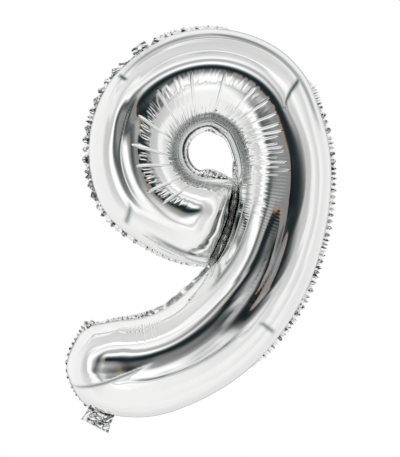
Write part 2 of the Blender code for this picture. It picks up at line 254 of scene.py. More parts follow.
# The section's two crowns. Each row: place along the tube, where the inner and the outer crown stand
# across it, by how much of the depth each is lower there, and how broad the crowns are.
CROWN_PLAN = np.array((
    (0.00, 0.30, 0.50, 0.00, 0.00, 1.00),
    (0.06, 0.33, 0.48, 0.00, 0.03, 1.00),
    (0.11, 0.36, 0.52, 0.00, 0.09, 1.00),
    (0.20, 0.36, 0.62, 0.00, 0.12, 1.00),
    (0.26, 0.34, 0.63, 0.00, 0.05, 1.00),
    (0.32, 0.35, 0.63, 0.01, 0.00, 1.00),
    (0.38, 0.38, 0.63, 0.03, 0.00, 1.05),
    (0.44, 0.41, 0.63, 0.07, 0.00, 1.20),
    (0.53, 0.46, 0.64, 0.07, 0.00, 1.00),
    (0.58, 0.46, 0.61, 0.10, 0.00, 0.85),
    (0.70, 0.43, 0.60, 0.12, 0.00, 0.78),
    (0.77, 0.43, 0.66, 0.03, 0.00, 0.85),
    (0.80, 0.43, 0.66, 0.00, 0.05, 0.95),
    (0.84, 0.42, 0.63, 0.00, 0.13, 1.00),
    (0.93, 0.40, 0.62, 0.00, 0.18, 1.00),
    (1.00, 0.40, 0.60, 0.00, 0.20, 1.00),
))
PLAN_BLUR = np.linspace(-0.02, 0.02, 5)
CROWN_CREASE = 0.5 * MM


def crown_plan(share):
    """Inner crown, outer crown, how much lower each is, and how broad, at these places, as columns."""
    blurred = share[:, None] + PLAN_BLUR
    columns = (np.interp(blurred, CROWN_PLAN[:, 0], CROWN_PLAN[:, k]) for k in (1, 2, 3, 4, 5))
    return [column.mean(axis=1)[:, None] for column in columns]


def from_crown(across, crown):
    """-1 at the inner seam, 0 at the crown, 1 at the outer seam."""
    offset = across - crown
    return np.where(offset < 0, offset / crown, offset / (1.0 - crown))


def hump(side, breadth):
    """Height of an oval section, 1 at the crown and 0 at the seams."""
    power = breadth * np.where(side < 0, INNER_ROUNDNESS, OUTER_ROUNDNESS)
    return np.sqrt(np.maximum(0.0, 1.0 - np.abs(side) ** power))


class Surface:
    """The smooth half tube that a sheet fills, on a grid of rows along the tube and columns across it."""

    def __init__(self, tube, grid):
        distances = tube.rows(grid[0])
        self.share = distances / tube.length
        turn = np.linspace(0.0, math.pi, grid[1])
        even = (1.0 - np.cos(turn)) / 2
        inner_crown, outer_crown, inner_low, outer_low, breadth = crown_plan(self.share)
        main = smooth_step(inner_low - outer_low, -0.10, 0.10)
        crown = inner_crown + main * (outer_crown - inner_crown)
        self.across = even + (crown - 0.5) * 4 * even * (1.0 - even)
        self.side = from_crown(self.across, crown)
        inner, outer = tube.seams(distances)
        flat = inner[:, None] + self.across[..., None] * (outer - inner)[:, None]
        bow = 4 * self.across * (1.0 - self.across)
        flat = flat + bow[..., None] * tube.bulge(distances)[:, None]
        depth = tube.depth(distances)[:, None]
        inner_hump = (1.0 - inner_low) * hump(from_crown(self.across, inner_crown), breadth)
        outer_hump = (1.0 - outer_low) * hump(from_crown(self.across, outer_crown), breadth)
        rounding = CROWN_CREASE / tube.half_depth * hump(self.side, breadth)
        height = (inner_hump + outer_hump + np.hypot(inner_hump - outer_hump, rounding)) / 2
        self.points = np.stack((flat[..., 0], -depth * height, flat[..., 1]), axis=-1)


# --- The gas-filled sheet


# Where the film is longer or shorter than elsewhere: by how much, and the plateau of the places along the
# tube and of those across it, counted from the crown.
GATHERS = (
    (-0.0035, (0.50, 0.56, 0.93, 0.98), (-0.95, -0.7, -0.3, -0.1)),
    (0.05, (0.34, 0.40, 0.52, 0.57), (-0.95, -0.8, -0.55, -0.4)),
    (0.05, (0.045, 0.06, 0.10, 0.14), (-0.95, -0.7, -0.5, -0.3)),
    (0.10, (0.28, 0.36, 0.97, 1.0), (0.93, 1.0, 2.0, 3.0)),
)
GATHER_EVERYWHERE = 0.005


def gather(surface):
    """How much longer the film is, along the tube, than the smooth surface it has to fit on."""
    longer = GATHER_EVERYWHERE
    for amount, along, across in GATHERS:
        here = plateau(surface.share[:, None], *along) * plateau(surface.side, *across)
        longer = longer + amount * here
    return longer


def sheet_normals(points):
    """Normals of a grid of points, not scaled to unit length, pointing to the front (-Y)."""
    along = np.gradient(points, axis=0)
    across = np.gradient(points, axis=1)
    return np.cross(across, along)


def hold_length(first, second, rest, hold):
    """Moves pairs of points towards their rest length, by hold's shares for too far apart and too near."""
    span = second - first
    length = lengths(span)
    share = (length - rest) / np.maximum(length, SMALL)
    share *= np.where(share > 0.0, *hold).astype(np.float32) / 2
    span *= share[..., None]
    first += span
    second -= span


class Sheet:
    """A thin film as a grid of points, rows along the tube, blown out against its own lengths."""

    def __init__(self, target, excess, start, hold_seam):
        self.target = target.astype(np.float32)
        self.points = start.astype(np.float32)
        self.velocity = np.zeros_like(self.points)
        self.hold_seam = hold_seam
        along = np.diff(target, axis=0)
        across = np.diff(target, axis=1)
        longer = 1.0 + (excess[1:] + excess[:-1]) / 2
        self.rest_along = (lengths(along) * longer).astype(np.float32)
        self.rest_across = (lengths(across) * SLACK_ACROSS).astype(np.float32)
        cell_along = (along[:, 1:] + along[:, :-1]) / 2 * ((longer[:, 1:] + longer[:, :-1]) / 2)[..., None]
        cell_across = (across[1:] + across[:-1]) / 2
        square = np.sum(cell_along**2 + cell_across**2, axis=-1)
        lean = 2 * np.sum(cell_along * cell_across, axis=-1)
        self.rest_down = np.sqrt(np.maximum(square + lean, SMALL**2)).astype(np.float32)
        self.rest_up = np.sqrt(np.maximum(square - lean, SMALL**2)).astype(np.float32)
        self.rest_bend_along = self.rest_along[1:] + self.rest_along[:-1]
        self.rest_bend_across = lengths(self.target[:, 2:] - self.target[:, :-2])

    def hold_lengths(self, bend):
        p = self.points
        for odd in (0, 1):
            hold_length(p[odd:-1:2], p[odd + 1 :: 2], self.rest_along[odd::2], STRETCH_HOLD)
        for odd in (0, 1):
            hold_length(p[:, odd:-1:2], p[:, odd + 1 :: 2], self.rest_across[:, odd::2], STRETCH_HOLD)
        for odd in (0, 1):
            hold_length(p[odd:-1:2, :-1], p[odd + 1 :: 2, 1:], self.rest_down[odd::2], SHEAR_HOLD)
            hold_length(p[odd:-1:2, 1:], p[odd + 1 :: 2, :-1], self.rest_up[odd::2], SHEAR_HOLD)
        for quarter in range(4):
            hold_length(p[:-2][quarter::4], p[2:][quarter::4], self.rest_bend_along[quarter::4], bend)
            near, far = p[:, :-2][:, quarter::4], p[:, 2:][:, quarter::4]
            hold_length(near, far, self.rest_bend_across[:, quarter::4], BEND_HOLD)

    def pin(self):
        """Keeps the seams flat in the plane y = 0, the closed ends in place and the film on its own side."""
        p, target = self.points, self.target
        for column in (0, -1):
            p[:, column] += self.hold_seam * (target[:, column] - p[:, column])
            p[:, column, 1] = 0.0
        p[0], p[-1] = target[0], target[-1]
        np.minimum(p[..., 1], 0.0, out=p[..., 1])

    def blow(self, steps):
        for step in range(steps):
            before = self.points.copy()
            self.points += SPEED_KEPT * self.velocity + GAS_PRESSURE * units(sheet_normals(self.points))
            self.hold_lengths(BEND_HOLD if step < steps // 5 else LATER_BEND_HOLD)
            self.points += PULL_TO_SHAPE * (self.target - self.points)
            self.pin()
            self.velocity = self.points - before
            speed = lengths(self.velocity)[..., None]
            self.velocity *= np.minimum(1.0, TOP_SPEED / np.maximum(speed, SMALL))


def finer(values, shape):
    """A grid of vectors read at more rows and columns, smooth between the given ones."""
    rows, columns, size = values.shape
    flat = values.reshape(rows, columns * size)
    longer = curve_through(np.arange(float(rows)), flat, np.linspace(0, rows - 1, shape[0]))
    turned = longer.reshape(shape[0], columns, size).transpose(1, 0, 2).reshape(columns, shape[0] * size)
    wider = curve_through(np.arange(float(columns)), turned, np.linspace(0, columns - 1, shape[1]))
    return wider.reshape(shape[1], shape[0], size).transpose(1, 0, 2)


def calmed(points, surface):
    """Takes out folds as small as the grid from the crown outward, where the film is pulled tight."""
    moved = points - surface.points
    steady = moved.copy()
    for _ in range(CALMING_ROUNDS):
        steady[1:-1] = (steady[:-2] + 2 * steady[1:-1] + steady[2:]) / 4
    tight = smooth_step(surface.across, 0.42, 0.52)[..., None]
    return surface.points + moved + tight * (steady - moved)


def blown_sheet(tube, random, shared_seam=None):
    """One simulated panel's points, in front of the seam plane, and the smooth surface it started from.

    shared_seam holds the first panel's seam columns, which the second panel keeps to exactly.
    """
    rough = Surface(tube, COARSE_GRID)
    shake = START_SHAKE * random.standard_normal(COARSE_GRID) * (1.0 - np.abs(rough.side))
    start = rough.points + shake[..., None] * units(sheet_normals(rough.points))
    start[[0, -1]] = rough.points[[0, -1]]
    coarse = Sheet(rough.points, gather(rough), start, 0.05)
    coarse.blow(COARSE_STEPS)
    surface = Surface(tube, FINE_GRID)
    start = surface.points + finer((coarse.points - coarse.target).astype(float), FINE_GRID)
    target = surface.points.copy()
    if shared_seam is not None:
        target[:, [0, -1]] = shared_seam
    fine = Sheet(target, gather(surface), start, 0.02 if shared_seam is None else 1.0)
    fine.blow(FINE_STEPS)
    return calmed(fine.points.astype(float), surface), surface


# --- Folds too small or too sharp for the simulation

# The ring's pleats, by their place along the tube: the way to the next one, and where they end across it
PLEAT_SPACING = ((0.45, 0.52, 0.55, 0.58, 0.70, 0.75), (0.0065, 0.009, 0.02, 0.042, 0.044, 0.034))
PLEAT_TIPS = ((0.49, 0.57, 0.66, 0.74, 0.80, 0.93), (0.555, 0.57, 0.58, 0.58, 0.56, 0.50))


def pleat_places(random):
    """Where the ring's pleats stand: close together up the stem, wide apart over the top."""
    places = []
    place = PLEAT_FIRST
    while place < PLEAT_LAST:
        places.append(place)
        place += np.interp(place, *PLEAT_SPACING) * (0.7 + 0.6 * random.random())
    return places


def ring_pleats(tube, surface, random):
    """Height of the thin ridges across the ring's inner half, and the painted shade at their feet."""
    along = surface.share[:, None] * tube.length
    side, across = surface.side, surface.across
    raised = np.zeros_like(side)
    painted_shade = np.zeros_like(side)
    for place in pleat_places(random):
        tip = np.interp(place, *PLEAT_TIPS)
        small = 1.0 - smooth_step(place, 0.48, 0.54)
        tip -= (0.03 + 0.09 * small) * random.random()
        drift = 0.010 * tube.length * (random.random() - 0.5)
        half_width = (0.42 + (0.5 - 0.25 * small) * smooth_step(side, -0.8, -0.2)) * MM
        half_width = half_width * np.sqrt(np.clip((tip - across) / 0.07, 0.1, 1.0))
        from_pleat = (along - place * tube.length - drift * (side + 0.5)) / half_width
        body = plateau(side, -0.95, -0.85, 1.0, 2.0) * (0.35 + 0.65 * smooth_step(side, -0.7, -0.2))
        body = body * (1.0 - smooth_step(across, tip - 0.02, tip))
        height = (0.45 + 0.5 * random.random()) * (1.0 - 0.5 * small) * MM
        raised += height * body * np.exp(-(from_pleat**2))
        # Painted shade: a dark line at the foot of each pleat
        foot = np.exp(-(((from_pleat - 1.4) / 0.6) ** 2))
        painted_shade = np.maximum(painted_shade, 0.65 * (1.0 - small) * body * foot)
    return raised, painted_shade


# Sharp valleys across the tube: place at the crown and at the outer seam, where they start and end across
# the tube, depth and half width. In this table and the next two, both of those are in mm.
CROSS_CREASES = (
    (0.256, 0.260, 0.74, 0.94, 0.4, 1.4),
    (0.545, 0.568, 0.66, 0.97, 0.8, 1.2),
    (0.755, 0.758, 0.85, 0.97, 0.9, 1.1),
    (0.890, 0.912, 0.74, 0.93, 0.4, 1.4),
)

# Steps along the tube, where one stretch of film lies higher than the next: from (place, across) to
# (place, across), height, how far the high side slopes away, and 1 if that is the outer side, else -1.
LONG_STEPS = (
    ((0.000, 0.70), (0.105, 0.43), 0.9, 9.0, -1),
    ((0.060, 0.60), (0.240, 0.66), 0.6, 7.0, 1),
    ((0.120, 0.58), (0.200, 0.57), 0.3, 5.0, 1),
    ((0.210, 0.46), (0.360, 0.47), 0.4, 4.0, -1),
    ((0.240, 0.54), (0.500, 0.57), 0.4, 4.0, -1),
    ((0.230, 0.13), (0.420, 0.20), 0.7, 4.0, -1),
    ((0.300, 0.09), (0.460, 0.12), 0.5, 3.0, -1),
    ((0.260, 0.04), (0.450, 0.06), 0.5, 2.5, 1),
    ((0.510, 0.93), (0.770, 0.92), 0.6, 2.5, 1),
    ((0.590, 0.74), (0.750, 0.75), 0.35, 6.0, 1),
    ((0.755, 0.665), (0.905, 0.65), -0.5, 9.0, 1),
    ((0.930, 0.86), (1.010, 0.90), 0.8, 2.5, 1),
)
# How far a step's low side slopes away
STEP_CLIFF = 1.4 * MM

# Rounded hollows along the tube: place where they start, are full, fall and end, across, depth, half width.
LONG_HOLLOWS = (
    (0.20, 0.26, 0.341, 0.42, 0.505, 2.1, 8.0),
    (0.50, 0.56, 0.561, 0.60, 0.760, 0.8, 7.0),
    (0.56, 0.60, 0.731, 0.76, 0.840, 0.5, 9.0),
    (0.76, 0.80, 0.881, 0.94, 0.660, 1.5, 9.0),
)

# The wall beside the hang tab: how deep it is drawn in, how far from the tab, and where across the tube
TAB_HOLLOW_DEPTH = 1.2 * MM
TAB_HOLLOW_REACH = (10.0 * MM, 20.0 * MM)
TAB_HOLLOW_ACROSS = (0.90, 0.98)


def cross_distance(tube, surface, crease):
    """How far each point is from a cross crease, along the tube, and how much the crease reaches it."""
    at_crown, at_seam, start, end, _, _ = crease
    share, across = surface.share[:, None], surface.across
    line = at_crown + (at_seam - at_crown) * np.sqrt(np.clip((across - start) / (1.0 - start), 0.0, 1.0))
    reach = plateau(across, start - 0.03, start + 0.03, start + 0.7 * (end - start), end)
    return np.abs(share - line) * tube.length, reach


def step_distance(tube, surface, step):
    """How far each point is beyond a step, to its high side, and how much the step reaches it."""
    (first, first_across), (last, last_across), _, _, outward = step
    share, across = surface.share[:, None], surface.across
    along = np.clip((share - first) / (last - first), 0.0, 1.0)
    line = first_across + (last_across - first_across) * smooth_step(along)
    reach = plateau(share, first - 0.01, first + 0.03, last - 0.04, last + 0.005)
    return (across - line) * tube.width * outward, reach


def creases(tube, surface):
    """The few sharp valleys, steps and hollows where the filled tube buckles as it bends."""
    share, across = surface.share[:, None], surface.across
    raised = np.zeros_like(across)
    for crease in CROSS_CREASES:
        distance, reach = cross_distance(tube, surface, crease)
        raised -= crease[4] * reach * np.exp(-distance / (crease[5] * MM))
    for step in LONG_STEPS:
        beyond, reach = step_distance(tube, surface, step)
        slope = np.where(beyond > 0, beyond / (step[3] * MM), -beyond / STEP_CLIFF)
        raised += step[2] * reach * np.exp(-slope)
    for start, full, fall, end, middle, depth, half_width in LONG_HOLLOWS:
        from_middle = (across - middle) * tube.width / (half_width * MM)
        raised -= depth * plateau(share, start, full, fall, end) * np.exp(-(from_middle**2))
    return raised * MM


def tab_hollow(tube, surface):
    """The wall beside the hang tab is drawn in, so that the tab can fold down along it."""
    place = Fold("tab_fold", "hang_tab", upward=True).place
    nearest = int(np.argmin(lengths(tube.outer - place[[0, 2]])))
    from_tab = np.abs(surface.share[:, None] * tube.length - tube.knots[nearest])
    beside = 1.0 - smooth_step(from_tab, *TAB_HOLLOW_REACH)
    return TAB_HOLLOW_DEPTH * beside * smooth_step(surface.across, *TAB_HOLLOW_ACROSS)


def fine_creases(tube, surface, random):
    """Small creases: short bars beside the ring's crown, wrinkles up the stem and crumples at the hole."""
    shape = surface.side.shape
    share, side, across = surface.share[:, None], surface.side, surface.across
    ring = plateau(share, 0.52, 0.58, 0.90, 0.96)
    low = np.interp(share, (0.55, 0.70, 0.80, 0.93), (0.43, 0.42, 0.36, 0.33))
    high = np.interp(share, (0.55, 0.70, 0.80, 0.93), (0.57, 0.56, 0.48, 0.44))
    beside_crown = smooth_step(across, low, low + 0.03) * (1.0 - smooth_step(across, high - 0.02, high))
    barred = ring * beside_crown * (0.6 + smooth_step(share, 0.68, 0.72))
    lip_crumple = plateau(share, 0.42, 0.46, 0.95, 1.0) * plateau(side, -0.76, -0.70, -0.64, -0.58)
    short = soft_noise(shape, (330, 14), random)
    blocks = np.clip(2.5 * soft_noise(shape, (400, 18), random), -1.0, 1.0)
    stem = plateau(share, 0.33, 0.42, 0.52, 0.56)
    wrinkled = stem * (0.25 * plateau(side, -0.45, -0.4, -0.2, -0.1) + plateau(side, -0.86, -0.7, -0.5, -0.4))
    wander = soft_noise(shape, (18, 4), random)
    regular = np.sin(2 * math.pi * share * tube.length / (3.1 * MM) + 1.6 * wander)
    return (0.09 * blocks * barred + 0.2 * short * lip_crumple + 0.08 * regular * wrinkled) * MM


def streaks(surface, random):
    """Long shallow folds along the tube, strongest where the tail and the stem are pulled straight."""
    shape = surface.side.shape
    share, side = surface.share[:, None], surface.side
    tail = 1.0 - smooth_step(share, 0.36, 0.50)
    top = plateau(share, 0.55, 0.62, 0.75, 0.9) * smooth_step(side, 0.1, 0.4)
    flat_edge = 1.0 - smooth_step(np.abs(side), 0.8, 1.0)
    folds = soft_noise(shape, (8, 22), random) + 0.3 * soft_noise(shape, (16, 60), random)
    outside = smooth_step(side, 0.1, 0.3)
    near_end = np.maximum(1.0 - smooth_step(share, 0.03, 0.09), smooth_step(share, 0.93, 0.98))
    uneven = 0.22 * near_end * soft_noise(shape, (90, 12), random)
    return MM * flat_edge * (0.10 * folds * (0.2 + 0.6 * tail + 0.8 * top + 0.5 * outside) + uneven)


def folded(points, raised):
    return points + raised[..., None] * units(sheet_normals(points))


# --- Meshes


def grid_object(name, points, flip=False):
    """A mesh with one face for each cell of a grid of points."""
    rows, columns = points.shape[:2]
    index = np.arange(rows * columns).reshape(rows, columns)
    quads = np.stack((index[:-1, :-1], index[1:, :-1], index[1:, 1:], index[:-1, 1:]), axis=-1)
    quads = quads.reshape(-1, 4)
    if flip:
        quads = quads[:, ::-1]
    mesh = bpy.data.meshes.new(name)
    mesh.from_pydata(points.reshape(-1, 3).tolist(), [], quads.tolist())
    mesh.shade_smooth()
    piece = bpy.data.objects.new(name, mesh)
    bpy.context.scene.collection.objects.link(piece)
    return piece


def make_panel(which, tube, seed, shared_seam=None):
    """One foil panel as a piece. Gives its points, as if in front of the seam plane, and its surface."""
    random = np.random.default_rng(seed)
    points, surface = blown_sheet(tube, random, shared_seam)
    pleats, pleat_feet_shade = ring_pleats(tube, surface, random)
    small = fine_creases(tube, surface, random) + streaks(surface, random)
    raised = pleats + small + creases(tube, surface) - tab_hollow(tube, surface)
    points = folded(points, raised * smooth_step(-surface.points[..., 1], 0.0, 1.0 * MM))
    is_front = which == "front"
    placed = points * np.array((1.0, 1.0 if is_front else -1.0, 1.0))
    piece = grid_object(f"{which}_foil", placed, flip=is_front)
    # Painted shade, stored on the mesh: where the material darkens the film's colour
    painted_shade = np.maximum(pleat_feet_shade, painted_shade_places(tube, surface))
    mark = piece.data.attributes.new("painted_shade", "FLOAT", "POINT")
    mark.data.foreach_set("value", painted_shade.astype(np.float32).ravel())
    finish_piece(piece, "balloon", f"{which}_foil_panel", clean_film())
    return points, surface


def finish_piece(piece, body, node_name, material):
    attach(piece, body)
    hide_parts(node_name)
    piece.data.materials.append(material)


def painted_shade_places(tube, surface):
    """How much painted shade darkens the film, up to 1: most in sharp creases and steps, and in a band beside
    the hole's weld.
    """
    share, across = surface.share[:, None], surface.across
    # Painted shade: a band beside the hole's weld, then lines along the cross creases and the steps
    painted_shade = 0.5 * plateau(share, 0.43, 0.50, 0.90, 0.97) * plateau(across, 0.01, 0.04, 0.11, 0.15)
    for crease in CROSS_CREASES:
        distance, reach = cross_distance(tube, surface, crease)
        mark = np.exp(-((distance / (1.2 * crease[5] * MM)) ** 2))
        painted_shade = np.maximum(painted_shade, min(1.0, 1.8 * crease[4]) * reach * mark)
    for step in LONG_STEPS:
        beyond, reach = step_distance(tube, surface, step)
        line = np.exp(-((beyond / STEP_CLIFF + 0.6) ** 2))
        painted_shade = np.maximum(painted_shade, min(0.8, abs(step[2])) * reach * line)
    return painted_shade


# --- Welds


def zigzag(phase):
    """A line of straight flanks between -1 and 1."""
    return 4.0 * np.abs(phase - np.floor(phase + 0.5)) - 1.0


def crumple(along, across, size, random):
    """Height of film crumpled into flat facets of about this size, with slopes of about 1."""
    folds = 6
    height = np.zeros(np.broadcast(along, across).shape)
    for _ in range(folds):
        turn = random.uniform(0.0, math.pi)
        length = size * random.uniform(0.7, 1.7)
        phase = (along * math.cos(turn) + across * math.sin(turn)) / length + random.random()
        height += zigzag(phase) * length / 4
    return height / math.sqrt(folds)


def travel_along(points):
    return np.concatenate(((0.0,), np.cumsum(lengths(np.diff(points, axis=0)))))


def line_at(points, places):
    """Points of the line of (x, z) at these distances along it."""
    travel = travel_along(points)
    return np.stack([np.interp(places, travel, points[:, axis]) for axis in (0, 1)], axis=-1)


def even_line(points, spacing, closed=False):
    """The line of (x, z) points again, at even spacing, and the travel along it."""
    if closed:
        points = np.vstack((points, points[:1]))
    length = travel_along(points)[-1]
    even = np.linspace(0.0, length, int(length / spacing) + 1, endpoint=not closed)
    return line_at(points, even), even


def left_of(line):
    """Unit normals to the left of travel, steadied over a few points."""
    span = 9
    steady = np.ones(span) / span
    tangent = np.gradient(line, axis=0)
    padded = np.pad(tangent, ((span // 2, span // 2), (0, 0)), mode="edge")
    tangent = np.stack([np.convolve(padded[:, axis], steady, mode="valid") for axis in (0, 1)], axis=-1)
    return units(np.stack((-tangent[:, 1], tangent[:, 0]), axis=-1))


def strip_points(line, outward, width, fold, height, columns):
    """Grid of a strip that starts on the line (x, z), turned back by fold and lifted off that by height."""
    out = np.linspace(0.0, 1.0, columns)
    flat = np.stack((outward[:, 0], np.zeros(len(line)), outward[:, 1]), axis=-1)
    back = np.array((0.0, 1.0, 0.0))
    reach = flat * np.cos(fold)[:, None] + back * np.sin(fold)[:, None]
    lift = flat * np.sin(fold)[:, None] - back * np.cos(fold)[:, None]
    start = np.stack((line[:, 0], np.zeros(len(line)), line[:, 1]), axis=-1)
    travel = (width[:, None] * out)[..., None] * reach[:, None]
    return start[:, None] + travel + height[..., None] * lift[:, None]


def film_object(name, points):
    """A mesh with both faces of the film, from a grid of points halfway between them."""
    piece = grid_object(name, points)
    film = piece.modifiers.new("film", "SOLIDIFY")
    film.thickness = FILM_THICKNESS
    film.offset = 0.0
    return piece


# The trimmed outer weld, from the ring's closed end round by way of the top, the stem and the tail to the
# notch: share of the way, width in mm, how far it folds back in degrees, height and length of its puckers
# in mm, and how steep the small facets are that it is crumpled into.
OUTER_WELD_PLAN = (
    (0.000, 3.0, 30, 0.8, 7, 0.2),
    (0.030, 4.0, 20, 1.2, 10, 0.2),
    (0.100, 6.2, 8, 1.8, 15, 0.2),
    (0.160, 7.4, 5, 2.2, 17, 0.2),
    (0.228, 6.6, 5, 2.0, 16, 0.2),
    (0.234, 1.3, 5, 0.2, 16, 0.2),
    (0.258, 1.3, 5, 0.2, 16, 0.2),
    (0.264, 6.4, 10, 1.6, 12, 0.25),
    (0.318, 4.6, 20, 1.2, 9, 0.25),
    (0.335, 3.5, 100, 0.3, 9, 0.1),
    (0.395, 4.0, 100, 0.3, 7, 0.1),
    (0.412, 6.2, 5, 1.9, 10.5, 0.2),
    (0.600, 7.0, 0, 2.2, 10.5, 0.2),
    (0.650, 5.0, 20, 1.6, 10.5, 0.15),
    (0.672, 4.0, 105, 0.3, 12, 0.1),
    (0.779, 4.0, 105, 0.3, 12, 0.1),
    (0.783, 0.7, 0, 0.0, 12, 0.1),
    (0.806, 0.7, 0, 0.0, 12, 0.1),
    (0.810, 4.4, 5, 1.4, 12, 0.15),
    (0.870, 5.2, 5, 1.6, 11, 0.15),
    (0.884, 8.5, 0, 1.2, 6, 0.3),
    (0.893, 3.0, 10, 1.0, 6, 0.3),
    (0.920, 5.4, 10, 1.0, 5, 0.3),
    (0.935, 6.0, 4, 0.5, 12, 0.1),
    (0.950, 6.0, 20, 0.5, 30, 0.03),
    (0.968, 6.0, 3, 0.5, 30, 0.03),
    (0.982, 6.0, 22, 0.5, 30, 0.03),
    (1.000, 5.6, 8, 0.5, 30, 0.03),
)


def make_outer_weld(front, surface):
    """The pinked flange all round the outline, puckered where the tube has pulled its edge in."""
    random = np.random.default_rng(4)
    notch_row = int(np.searchsorted(surface.share, NOTCH))
    seam = front[:, -1][::-1], front[0][::-1][1:-1], front[: notch_row + 1, 0]
    line, travel = even_line(np.vstack(seam)[:, [0, 2]], 0.55 * MM)
    share = travel / travel[-1]
    plan = np.array(OUTER_WELD_PLAN)
    width, fold, pucker, period, steep = (np.interp(share, plan[:, 0], plan[:, k]) for k in (1, 2, 3, 4, 5))
    wander = 1.0 + 0.35 * soft_noise((len(line), 2), (120, 1), random)[:, 0]
    phase = np.cumsum(np.gradient(travel) / (period * MM * np.clip(wander, 0.45, 1.8)))
    strength = np.clip(1.0 + 0.35 * soft_noise((len(line), 2), (90, 1), random)[:, 0], 0.3, 1.6)
    columns = 9
    out = np.linspace(0.0, 1.0, columns)
    scallop = 1.0 - 0.5 * np.clip(pucker / 2.0, 0.0, 1.0) * (1.0 - np.abs(zigzag(phase)))
    width = width * MM * scallop
    facets = crumple(travel[:, None], out[None, :] * width[:, None], 2.6 * MM, random)
    flat_topped = np.clip(1.8 * zigzag(phase), -1.0, 1.0)
    height = (0.5 * pucker * MM * strength * flat_topped)[:, None] * out**0.8
    height = height + facets * steep[:, None] * np.minimum(1.0, 3 * out)
    points = strip_points(line, left_of(line), width, np.radians(fold), height, columns)
    piece = film_object("outer_flange", points)
    finish_piece(piece, "balloon", "outer_weld_flange", sealed_film())


def make_hole_weld(front, surface):
    """The lip inside the ring's hole: a smooth cone, crumpled at the lower right."""
    random = np.random.default_rng(5)
    corner_row = int(np.searchsorted(surface.share, HOLE_CORNER))
    line, travel = even_line(front[corner_row:, 0][:, [0, 2]], 0.4 * MM, closed=True)
    low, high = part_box("hole_weld_flange")
    centre = np.array(((low.x + high.x) / 2, (low.z + high.z) / 2))
    inward = units(centre - line)
    to_right = inward @ np.array((-1.0, 0.0))
    low_right = smooth_step(inward @ np.array((-0.35, 0.94)), 0.55, 0.9)
    columns = 11
    out = np.linspace(0.0, 1.0, columns)
    width = (6.2 - 2.4 * smooth_step(to_right, 0.2, 0.9) + 3.0 * low_right) * MM
    lean = (2.3 - 2.0 * smooth_step(to_right, -0.1, 0.7)) * MM
    rolled = -lean[:, None] * out**1.3 + 0.5 * MM * np.sin(math.pi * out) ** 2
    facets = crumple(travel[:, None], out[None, :] * width[:, None], 3.4 * MM, random)
    strength = (0.05 + 0.3 * low_right)[:, None] * np.minimum(1.0, 2.5 * out)
    height = rolled * (1.0 - 0.6 * low_right)[:, None] + facets * strength
    points = strip_points(line, inward, width, np.zeros(len(line)), height, columns)
    points = np.concatenate((points, points[:1]))
    piece = film_object("hole_lip", points)
    finish_piece(piece, "balloon", "hole_weld_flange", sealed_film())


def make_divider(front, surface):
    """The welded strip between the ring's closed end and the stem, drawn into folds along its length."""
    random = np.random.default_rng(6)
    first = int(np.searchsorted(surface.share, NOTCH))
    last = int(np.searchsorted(surface.share, HOLE_CORNER))
    rows, columns = 240, 41
    stem = front[first : last + 1, 0][:, [0, 2]]
    ring = front[-1][::-1][:, [0, 2]]
    picks = np.linspace(0.0, 1.0, rows)
    stem = line_at(stem, picks * travel_along(stem)[-1])
    ring = line_at(ring, picks * travel_along(ring)[-1])
    out = np.linspace(0.0, 1.0, columns)
    flat = stem[:, None] + out[None, :, None] * (ring - stem)[:, None]
    free = np.sin(math.pi * out)[None, :] * plateau(picks, 0.0, 0.12, 0.9, 1.0)[:, None]
    wander = 0.35 * soft_noise((rows, columns), (7, 3), random)
    folds = np.clip(1.5 * np.sin(2 * math.pi * (3.0 * out[None, :] + wander)), -1.0, 1.0)
    y = -free * (0.7 * MM * folds + 0.4 * MM * soft_noise((rows, columns), (12, 6), random))
    points = np.stack((flat[..., 0], y, flat[..., 1]), axis=-1)
    piece = film_object("divider_strip", points)
    finish_piece(piece, "balloon", "divider_weld", divider_film())


# --- Neck, valve and hang tab


class Fold:
    """A film that turns about a fold line: points on it are (along the fold line, away from its weld)."""

    def __init__(self, joint_name, node_name, upward):
        joint = next(joint for joint in frame["joints"] if joint["name"] == joint_name)
        self.place = np.array(joint["pos_m"])
        self.along = units(np.array(joint["axis"]))
        away = np.array((self.along[2], 0.0, -self.along[0]))
        self.away = away if (away[2] > 0) == upward else -away
        points = np.array([vertex.co for vertex in frame["nodes"][node_name].data.vertices]) - self.place
        self.local = np.stack((points @ self.along, points @ self.away), axis=-1)

    def corner(self, direction):
        return self.local[int(np.argmax(self.local @ np.array(direction)))]

    def grid(self, rows, columns, slant=1.0):
        """The flat film's points and their shares of both ways; slant weighs far out against far aside."""
        near = self.corner((-1.0, -slant)), self.corner((1.0, -slant))
        far = self.corner((-1.0, slant)), self.corner((1.0, slant))
        onward = np.linspace(0.0, 1.0, rows)[:, None, None]
        right = np.linspace(0.0, 1.0, columns)[None, :, None]
        near_line = near[0] + right * (near[1] - near[0])
        far_line = far[0] + right * (far[1] - far[0])
        return near_line + onward * (far_line - near_line), onward[..., 0], right[..., 0]

    def placed(self, flat, y):
        """The flat film's points in the frame, each moved back by its y."""
        back = y[..., None] * np.array((0.0, 1.0, 0.0))
        return self.place + flat[..., :1] * self.along + flat[..., 1:] * self.away + back


# Half the gaps between the neck's two layers and between the valve's two films
NECK_HALF_GAP = 0.22 * MM
VALVE_HALF_GAP = 0.25 * MM
LAYERS = ((-1, "front"), (1, "back"))


